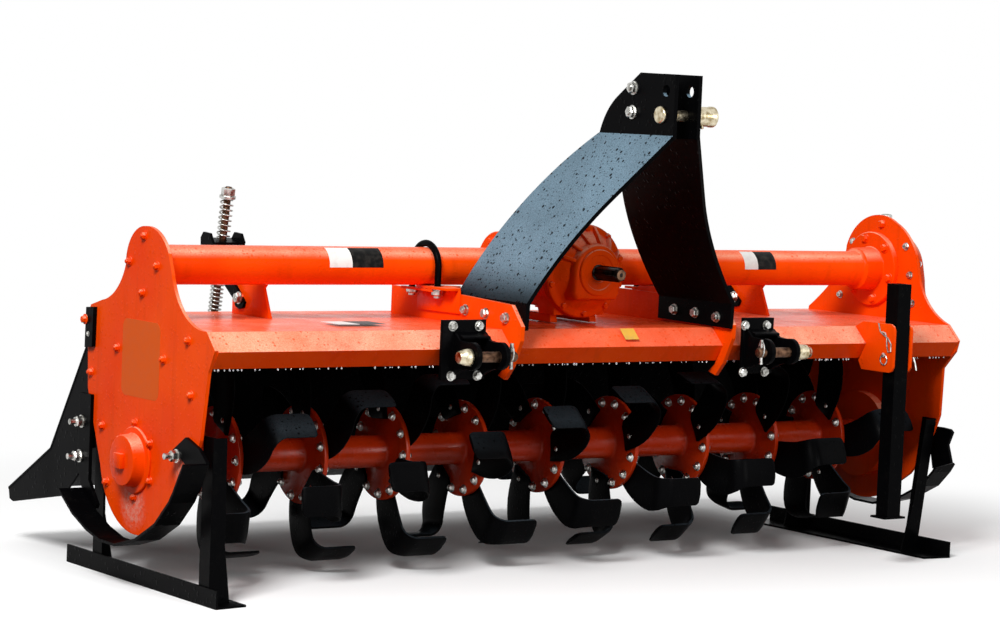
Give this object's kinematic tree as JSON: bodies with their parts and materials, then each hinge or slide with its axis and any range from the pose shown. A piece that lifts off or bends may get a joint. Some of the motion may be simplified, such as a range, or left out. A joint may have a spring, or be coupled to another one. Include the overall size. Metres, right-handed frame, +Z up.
{
  "type": "rotary tiller",
  "caption": "Three-point mounted rotary tiller: hooded tined rotor between end plates, gear case, A-frame mast, sprung rear board, skids, stands and parking leg.",
  "frame": {"origin": "middle of the footprint at floor level", "axes": "+X along the working width towards the gear case, -Y towards the tractor, +Z up"},
  "size_m": [2.292, 1.2134, 1.185],
  "materials": {
    "orange_paint": "gloss",
    "black_paint": "gloss",
    "tine_paint": "satin",
    "zinc": "zinc plated",
    "yellow_zinc": "yellow zinc plated",
    "bare_steel": "machined"
  },
  "bodies": {
    "frame": {"side_plate_left": "orange_paint", "side_plate_right": "orange_paint", "gear_case_cover": "orange_paint", "bearing_cap_left": "orange_paint", "bearing_housings": "orange_paint", "main_tube": "orange_paint", "deck": "orange_paint", "gearbox_housing": "orange_paint", "gearbox_rails": "orange_paint", "mast_leg_left": "black_paint", "mast_leg_right": "black_paint", "mast_spacers": "zinc", "top_link_pin": "yellow_zinc", "mast_brackets": "orange_paint", "u_bolts": "black_paint", "lower_hitch_clevises": "black_paint", "lower_link_pins": "yellow_zinc", "rod_gussets": "orange_paint", "skids": "black_paint", "shipping_stands": "black_paint", "leg_bracket": "orange_paint", "edge_strips": "black_paint", "case_breather": "zinc", "board_hinge_lugs": "black_paint"},
    "rotor": {"rotor_shaft": "orange_paint", "tines_left": "tine_paint", "tines_right": "tine_paint"},
    "pto": {"pto_shaft": "bare_steel"},
    "rear_board": {"rear_board": "black_paint", "board_end_plates": "black_paint", "board_knuckles": "black_paint", "board_rod_ears": "black_paint"},
    "yoke_left": {"rod_yoke_left": "black_paint", "upper_spring_left": "zinc"},
    "yoke_right": {"rod_yoke_right": "black_paint", "upper_spring_right": "zinc"},
    "rod_left": {"spring_rod_left": "zinc", "lower_spring_left": "zinc"},
    "rod_right": {"spring_rod_right": "zinc", "lower_spring_right": "zinc"},
    "parking_leg": {"parking_leg": "black_paint"}
  },
  "joints": [
    {"name": "rotor_spin", "type": "hinge", "parent": "frame", "child": "rotor", "pos_m": [0, -0.059, 0.279], "axis": [1, 0, 0], "continuous": true},
    {"name": "pto_spin", "type": "hinge", "parent": "frame", "child": "pto", "pos_m": [0, -0.329, 0.715], "axis": [0, -1, 0], "continuous": true},
    {"name": "board_swing", "type": "hinge", "parent": "frame", "child": "rear_board", "pos_m": [0, 0.203, 0.535], "axis": [1, 0, 0], "range_deg": [0, 18]},
    {"name": "parking_leg_slide", "type": "slide", "parent": "frame", "child": "parking_leg", "axis": [0, 0, -1], "range_m": [-0.12, 0.13]},
    {"name": "yoke_left_pivot", "type": "hinge", "parent": "frame", "child": "yoke_left", "pos_m": [-0.6985, 0.089, 0.628], "axis": [1, 0, 0], "range_deg": [-0.01, 7.9]},
    {"name": "rod_left_slide", "type": "slide", "parent": "yoke_left", "child": "rod_left", "axis": [0, -0.1569, 0.9876], "range_m": [-0.0005, 0.00464]},
    {"name": "yoke_right_pivot", "type": "hinge", "parent": "frame", "child": "yoke_right", "pos_m": [0.6985, 0.089, 0.628], "axis": [1, 0, 0], "range_deg": [-0.01, 7.9]},
    {"name": "rod_right_slide", "type": "slide", "parent": "yoke_right", "child": "rod_right", "axis": [0, -0.1569, 0.9876], "range_m": [-0.0005, 0.00464]}
  ],
  "couplings": [
    {"joint": "pto_spin", "follows": "rotor_spin", "ratio": 2.5},
    {"joint": "yoke_left_pivot", "follows": "board_swing", "ratio": 0.43828},
    {"joint": "rod_left_slide", "follows": "board_swing", "m_per_rad": 0.013191},
    {"joint": "yoke_right_pivot", "follows": "board_swing", "ratio": 0.43828},
    {"joint": "rod_right_slide", "follows": "board_swing", "m_per_rad": 0.013191}
  ]
}
